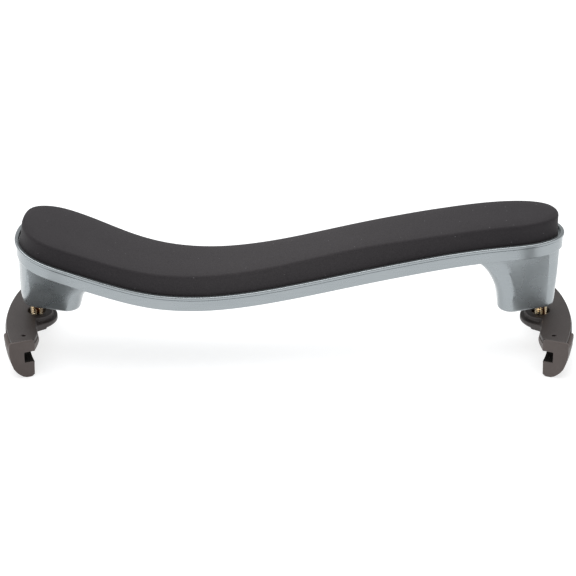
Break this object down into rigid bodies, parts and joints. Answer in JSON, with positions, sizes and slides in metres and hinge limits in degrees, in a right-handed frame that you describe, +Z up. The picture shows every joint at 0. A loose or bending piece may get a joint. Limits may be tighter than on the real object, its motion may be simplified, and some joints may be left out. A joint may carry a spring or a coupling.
{
  "type": "violin shoulder rest",
  "caption": "Violin shoulder rest: S-curved moulded base with a foam pad, on two screw-adjustable claws with hooked feet that grip the instrument's edge.",
  "frame": {"origin": "midway between the two claws, level with the undersides of the toes it stands on", "axes": "+X along the rest, towards its narrow, high end; +Z up; +Y towards the side the plan bows away from"},
  "size_m": [0.2314, 0.0578, 0.0625],
  "materials": {
    "base_paint": "satin silver-grey paint",
    "foam": "fine closed-cell foam",
    "adhesive": "matt adhesive film",
    "brass": "turned",
    "claw_plastic": "satin",
    "foot_rubber": "smooth elastomer",
    "pin": "blackened"
  },
  "bodies": {
    "base": {"base_shell": "base_paint", "pad_adhesive": "adhesive", "foam_pad": "foam", "insert_left_outer": "brass", "insert_left_inner": "brass", "insert_right_outer": "brass", "insert_right_inner": "brass"},
    "stud_left": {"stud_left": "brass"},
    "claw_left": {"claw_plate_left": "claw_plastic", "collar_left": "brass", "foot_left_front": "foot_rubber", "pin_left_front": "pin", "foot_left_back": "foot_rubber", "pin_left_back": "pin"},
    "stud_right": {"stud_right": "brass"},
    "claw_right": {"claw_plate_right": "claw_plastic", "collar_right": "brass", "foot_right_front": "foot_rubber", "pin_right_front": "pin", "foot_right_back": "foot_rubber", "pin_right_back": "pin"}
  },
  "joints": [
    {"name": "claw_height_left", "type": "slide", "parent": "base", "child": "stud_left", "axis": [0, 0, 1], "range_m": [-0.0048, 0.0048]},
    {"name": "claw_turn_left", "type": "hinge", "parent": "stud_left", "child": "claw_left", "pos_m": [-0.1033, 0, 0.0166], "axis": [0, 0, 1], "range_deg": [-2160, 2160]},
    {"name": "claw_height_right", "type": "slide", "parent": "base", "child": "stud_right", "axis": [0, 0, 1], "range_m": [-0.0048, 0.0048]},
    {"name": "claw_turn_right", "type": "hinge", "parent": "stud_right", "child": "claw_right", "pos_m": [0.1033, 0, 0.0166], "axis": [0, 0, 1], "range_deg": [-2160, 2160]}
  ],
  "couplings": [
    {"joint": "claw_height_left", "follows": "claw_turn_left", "m_per_rad": 0.00012732},
    {"joint": "claw_height_right", "follows": "claw_turn_right", "m_per_rad": 0.00012732}
  ]
}
